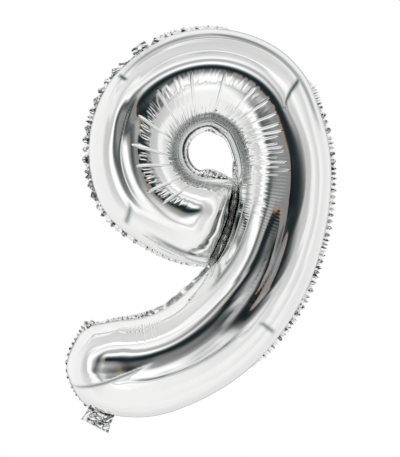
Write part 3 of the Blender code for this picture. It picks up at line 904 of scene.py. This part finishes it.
def make_neck():
    """The two layers of the filling neck, crumpled together, smooth at their root."""
    fold = Fold("neck_fold", "neck_front_layer", upward=False)
    flat, down, right = fold.grid(60, 84, slant=1.5)
    random = np.random.default_rng(7)
    shared = crumple(flat[..., 0], flat[..., 1], 5.0 * MM, random)
    shared = shared + 0.5 * crumple(flat[..., 0], flat[..., 1], 2.6 * MM, random)
    grow = smooth_step(down, 0.0, 0.35)
    flap = 3.0 * MM * (1.0 - smooth_step(right, 0.0, 0.22)) * down
    open_mouth = 0.9 * MM * down**2 * np.sin(math.pi * right)
    drawn_in = np.stack(np.broadcast_arrays(1.0 - 0.05 * np.sin(math.pi * down), 1.0), axis=-1)
    for side, which in LAYERS:
        own = 0.25 * crumple(flat[..., 0], flat[..., 1], 3.5 * MM, random)
        y = grow * (0.2 * shared + 0.1 * own) - flap + side * (NECK_HALF_GAP + open_mouth)
        piece = film_object(f"neck_{which}_foil", fold.placed(flat * drawn_in, y))
        piece.data.materials.append(clean_film())
        bake_modifiers(piece)
        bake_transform(piece)
        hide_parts(f"neck_{which}_layer")


def bake_modifiers(piece):
    """Replaces the piece's mesh with the one that its modifiers make."""
    graph = bpy.context.evaluated_depsgraph_get()
    made = bpy.data.meshes.new_from_object(piece.evaluated_get(graph))
    piece.modifiers.clear()
    piece.data = made


RIBBON_HOLE_RADIUS = 1.5 * MM
RIBBON_HOLE_SHARE = 0.51


def make_hang_tab():
    """The pierced tab: rings of faces from its ribbon hole out to its outline, softly bent."""
    fold = Fold("tab_fold", "hang_tab", upward=True)
    low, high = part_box("hang_tab")
    middle = (np.array(low) + np.array(high)) / 2
    root = float(fold.local[:, 1].min())
    tip = float(fold.local[:, 1].max())
    hole = np.array(((middle - fold.place) @ fold.along, root + RIBBON_HOLE_SHARE * (tip - root)))
    corners = [fold.corner(way) for way in ((1.0, -2.0), (1.0, 2.0), (-1.0, 2.0), (-1.0, -2.0))]
    outline, _ = even_line(np.array(corners), 0.5 * MM, closed=True)
    turns = np.arctan2(outline[:, 1] - hole[1], outline[:, 0] - hole[0])
    ring = hole + RIBBON_HOLE_RADIUS * np.stack((np.cos(turns), np.sin(turns)), axis=-1)
    out = np.linspace(0.0, 1.0, 12)[None, :, None]
    flat = ring[:, None] + out * (outline - ring)[:, None]
    rise = smooth_step((flat[..., 1] - root) / (tip - root))
    facets = crumple(flat[..., 0], flat[..., 1], 3.2 * MM, np.random.default_rng(8))
    points = fold.placed(flat, 0.3 * MM * rise + 0.18 * rise * facets)
    piece = film_object("ribbon_tab", np.concatenate((points, points[:1])))
    finish_piece(piece, "tab", "hang_tab", sealed_film())


def make_valve():
    """The two loose plastic films of the valve, softly waved."""
    random = np.random.default_rng(10)
    rows, columns = 70, 30
    for side, which in LAYERS:
        body = f"valve_{which}"
        fold = Fold(f"{body}_open", f"{body}_film", upward=True)
        flat, up, right = fold.grid(rows, columns)
        wave = 0.12 * MM * soft_noise((rows, columns), (6, 3), random) * up
        belly = 0.5 * MM * np.sin(math.pi * right) * np.sin(math.pi * np.minimum(1.0, 1.2 * up))
        points = fold.placed(flat, side * (VALVE_HALF_GAP + belly + np.abs(wave)))
        piece = film_object(f"{body}_sleeve", points)
        finish_piece(piece, body, f"{body}_film", cloudy_film())


# --- Materials


def fill(tree, pairs):
    """Gives each socket its value: a number, a vector or another node's output."""
    for socket, value in pairs:
        if isinstance(value, bpy.types.NodeSocket):
            tree.links.new(value, socket)
        else:
            socket.default_value = value


def fill_named(tree, target, values):
    fill(tree, ((target.inputs[name], value) for name, value in values.items()))


def node(tree, kind, *inputs, **settings):
    """A shader node with its settings and its first inputs."""
    made = tree.nodes.new(kind)
    for name, value in settings.items():
        setattr(made, name, value)
    fill(tree, zip(made.inputs, inputs))
    return made


def maths(tree, operation, *inputs):
    return node(tree, "ShaderNodeMath", *inputs, operation=operation).outputs[0]


def vector_maths(tree, operation, *inputs, output="Vector"):
    return node(tree, "ShaderNodeVectorMath", *inputs, operation=operation).outputs[output]


def noise(tree, place, scale, detail):
    made = node(tree, "ShaderNodeTexNoise", place)
    fill_named(tree, made, {"Scale": scale, "Detail": detail})
    return made.outputs["Fac"]


def ramp(tree, position, stops, full=180):
    """A colour ramp, its stops placed from 0 to full: for light, angles in degrees."""
    made = node(tree, "ShaderNodeValToRGB", position)
    elements = made.color_ramp.elements
    while len(elements) < len(stops):
        elements.new(0.5)
    for element, (place, light) in zip(elements, stops):
        colour = light if isinstance(light, tuple) else (light, light, light)
        element.position = place / full
        element.color = (*colour, 1.0)
    return made.outputs["Color"]


def new_material(name):
    """A material, its node tree and the shader in it."""
    made = bpy.data.materials.new(name)
    made.use_nodes = True
    return made, made.node_tree, made.node_tree.nodes["Principled BSDF"]


def foil_material(name, shade, roughness, grain_scale, grain_strength):
    """Metallised film: a mirror with a faint grain and an uneven shine, with painted shade that turns it dark
    blue-grey where the mesh marks it.
    """
    made, tree, shader = new_material(name)
    place = node(tree, "ShaderNodeTexCoord").outputs["Object"]
    cloud = noise(tree, place, 35.0, 4.0)
    darker = (shade - 0.02, shade - 0.01, shade - 0.02)
    lighter = (shade, shade + 0.005, shade - 0.005)
    tint = ramp(tree, cloud, ((0.35, darker), (0.65, lighter)), full=1.0)
    # Painted shade: the mesh's mark blends the colour towards a dark blue-grey in creases, steps, pleat feet
    # and beside the hole's weld
    painted_shade = node(tree, "ShaderNodeAttribute", attribute_name="painted_shade").outputs["Fac"]
    painted_shade_colour = vector_maths(tree, "MULTIPLY", tint, (0.08, 0.115, 0.12))
    colour = node(tree, "ShaderNodeMix", data_type="RGBA")
    fill(tree, zip((colour.inputs[k] for k in (0, 6, 7)), (painted_shade, tint, painted_shade_colour)))
    shine = maths(tree, "MULTIPLY_ADD", cloud, roughness, roughness / 2)
    grain = noise(tree, place, grain_scale, 3.0)
    bump = node(tree, "ShaderNodeBump")
    fill_named(tree, bump, {"Strength": grain_strength, "Distance": 0.1 * MM, "Height": grain})
    fill_named(tree, shader, {
        "Base Color": colour.outputs[2],
        "Metallic": 1.0,
        "Roughness": shine,
        "Normal": bump.outputs["Normal"],
    })
    return made


@cache
def clean_film():
    """The film as it comes from its roll."""
    return foil_material("mirror_film", 0.90, 0.03, 900.0, 0.006)


@cache
def sealed_film():
    """The film where it is heat-sealed, with a coarser grain; its colour is a little darker as painted shade
    for the light lost between its crumples.
    """
    return foil_material("sealed_film", 0.87, 0.05, 700.0, 0.012)


@cache
def divider_film():
    """The sealed film in the divider, worked into creases too fine to model, so its mirror is blurred."""
    return foil_material("divider_film", 0.90, 0.20, 700.0, 0.012)


@cache
def cloudy_film():
    """Thin cloudy plastic film."""
    made, tree, shader = new_material("cloudy_film")
    cloud = noise(tree, node(tree, "ShaderNodeTexCoord").outputs["Object"], 120.0, 2.0)
    fill_named(tree, shader, {
        "Base Color": (0.82, 0.84, 0.85, 1.0),
        "Transmission Weight": 0.4,
        "Roughness": maths(tree, "MULTIPLY_ADD", cloud, 0.2, 0.15),
    })
    return made


# --- Studio

AT_CAMERA = (0, (0.01, 0.018, 0.02))
BEHIND = (168, (0.04, 0.05, 0.05))

# The studio as the balloon sees it, to the right, up, left and down of the camera as (x, z): pairs of the
# angle from the camera in degrees and the light there, which is grey or (red, green, blue).
STUDIO = {
    (1.0, 0.0): (
        AT_CAMERA, (12, (0.018, 0.027, 0.03)), (18, (0.05, 0.065, 0.07)), (23, 0.16), (29, 0.34), (35, 0.6),
        (40, 0.58), (52, 0.66), (57, 0.95), (65, 1.0), (74, 0.8), (84, 0.75), (90, 1.0), (110, 0.85),
        (138, 0.95), (150, 0.8), (160, 0.45), BEHIND,
    ),
    (0.0, 1.0): (
        AT_CAMERA, (5, (0.02, 0.032, 0.036)), (9, (0.11, 0.15, 0.16)), (13, 0.46), (17, 1.2), (24, 1.1),
        (27, 0.52), (34, 0.5), (38, 1.1), (44, 1.0), (48, 0.74), (55, 1.35), (60, 1.3), (64, 0.78),
        (90, 0.7), (97, 1.05), (100, 0.5), (103, 0.5), (106, 1.05), (138, 0.95), (150, 0.8), (160, 0.45),
        BEHIND,
    ),
    (-1.0, 0.0): (
        AT_CAMERA, (8, (0.02, 0.03, 0.032)), (9.5, (0.26, 0.15, 0.09)), (11.5, (0.4, 0.3, 0.23)),
        (13, (0.25, 0.26, 0.26)), (21, (0.27, 0.29, 0.28)), (25, (0.14, 0.16, 0.16)),
        (31, (0.07, 0.08, 0.085)), (34, 0.14), (38, 0.45), (42, 1.15), (50, 1.1), (54, 0.62), (66, 0.68),
        (78, 0.95), (138, 1.0), (150, 0.8), (160, 0.45), BEHIND,
    ),
    (0.0, -1.0): (
        AT_CAMERA, (4, (0.025, 0.04, 0.045)), (8, 0.17), (12, 0.3), (16, 0.44), (20, 0.9), (26, 1.25),
        (30, 1.15), (33, 0.7), (38, 1.15), (43, 0.98), (90, 0.98), (130, 0.82), (150, 0.8), (160, 0.5),
        BEHIND,
    ),
}
BACKGROUND_LIGHT = 1.0
FLOOR_HEIGHT = -0.45
FLOOR_REACH = 4.0


def make_world():
    """Soft boxes and dark gaps round the camera, seen only in the foil, and plain white behind it."""
    world = bpy.data.worlds.new("studio")
    bpy.context.scene.world = world
    world.use_nodes = True
    tree = world.node_tree
    tree.nodes.clear()
    direction = node(tree, "ShaderNodeTexCoord").outputs["Generated"]
    direction = vector_maths(tree, "NORMALIZE", direction)
    toward_camera = vector_maths(tree, "DOT_PRODUCT", direction, (0.0, -1.0, 0.0), output="Value")
    angle = maths(tree, "DIVIDE", maths(tree, "ARCCOSINE", toward_camera), math.pi)
    flat = vector_maths(tree, "NORMALIZE", vector_maths(tree, "MULTIPLY", direction, (1.0, 0.0, 1.0)))
    total = None
    for (x, z), stops in STUDIO.items():
        facing = vector_maths(tree, "DOT_PRODUCT", flat, (x, 0.0, z), output="Value")
        facing = maths(tree, "MAXIMUM", facing, 0.0)
        weight = maths(tree, "MULTIPLY", facing, facing)
        light = vector_maths(tree, "SCALE", ramp(tree, angle, stops))
        fill_named(tree, light.node, {"Scale": weight})
        total = light if total is None else vector_maths(tree, "ADD", total, light)
    seen = node(tree, "ShaderNodeBackground", total, 1.0).outputs["Background"]
    plain = node(tree, "ShaderNodeBackground", (1.0, 1.0, 1.0, 1.0), BACKGROUND_LIGHT).outputs["Background"]
    from_camera = node(tree, "ShaderNodeLightPath").outputs["Is Camera Ray"]
    mixed = node(tree, "ShaderNodeMixShader", from_camera, seen, plain)
    node(tree, "ShaderNodeOutputWorld", mixed.outputs["Shader"])


def make_floor():
    """A pale floor well below the balloon, lit up to the white of the background."""
    sides = (-FLOOR_REACH, FLOOR_REACH)
    floor = grid_object("floor", np.array([[(x, y, FLOOR_HEIGHT) for x in sides] for y in sides]))
    floor.visible_glossy = False
    made, tree, shader = new_material("pale_floor")
    fill_named(tree, shader, {
        "Base Color": (0.9, 0.9, 0.9, 1.0),
        "Emission Color": (1.0, 1.0, 1.0, 1.0),
        "Emission Strength": 0.22,
        "Roughness": 0.9,
    })
    floor.data.materials.append(made)


# The view: straight at the front, from far away, with the balloon near the middle of the picture
CAMERA_DISTANCE = 2.0
CAMERA_FRAME_HEIGHT = 1.118 * (cad_high.z - cad_low.z)
CAMERA_ASIDE = 0.0007
CAMERA_RAISED = 0.0005


def make_camera():
    data = bpy.data.cameras.new("camera")
    camera = bpy.data.objects.new("camera", data)
    bpy.context.scene.collection.objects.link(camera)
    middle = (cad_low + cad_high) / 2
    camera.location = middle + Vector((CAMERA_ASIDE, -CAMERA_DISTANCE, CAMERA_RAISED))
    camera.rotation_euler = (math.pi / 2, 0.0, 0.0)
    data.lens = data.sensor_width * CAMERA_DISTANCE / CAMERA_FRAME_HEIGHT
    bpy.context.scene.camera = camera
    bpy.context.scene.view_settings.view_transform = "Standard"


tube = Tube()
front, surface = make_panel("front", tube, 9)
make_panel("back", tube, 19, front[:, [0, -1]])
make_outer_weld(front, surface)
make_hole_weld(front, surface)
make_divider(front, surface)
make_neck()
make_hang_tab()
make_valve()
make_world()
make_floor()
make_camera()
